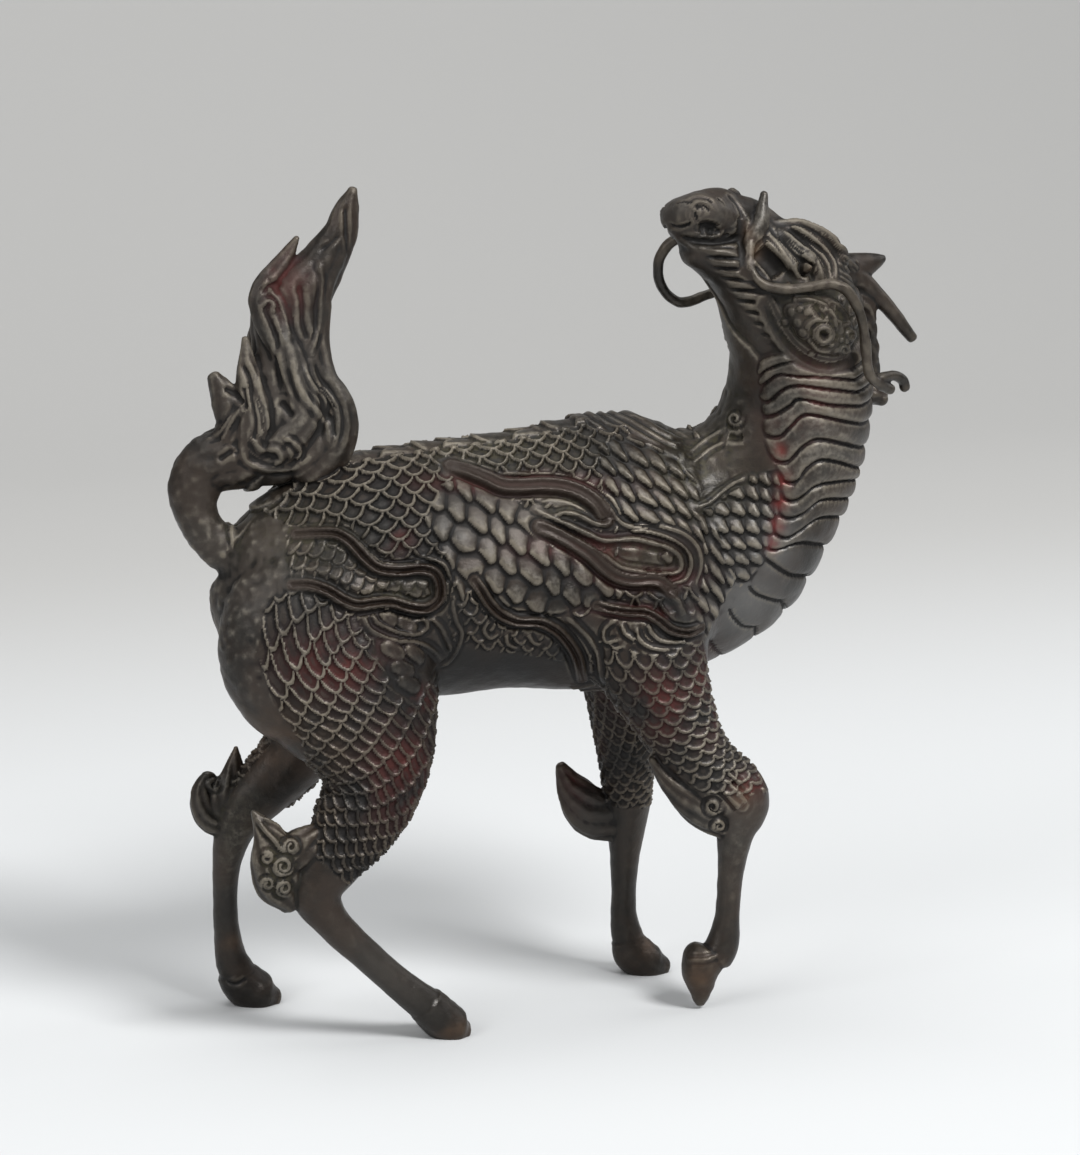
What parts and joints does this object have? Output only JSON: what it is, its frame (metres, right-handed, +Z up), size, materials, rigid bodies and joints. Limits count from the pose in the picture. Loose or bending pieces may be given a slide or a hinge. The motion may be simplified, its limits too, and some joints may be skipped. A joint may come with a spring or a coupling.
{
  "type": "cast bronze qilin figure",
  "caption": "Cast bronze qilin, a scaly hoofed beast with a dragon's head, striding with its head turned back over its shoulder and its flaming tail raised; a table ornament.",
  "frame": {"origin": "middle of the figure's overall box, on the surface it stands on", "axes": "+X the way the body faces, +Y the beast's left side, +Z up"},
  "size_m": [0.2012, 0.06, 0.2198],
  "materials": {
    "patinated_bronze": "dark brown patina, satin, with a grey-green bloom on the high points"
  },
  "bodies": {
    "root": {"qilin_figure": "patinated_bronze"}
  },
  "joints": []
}
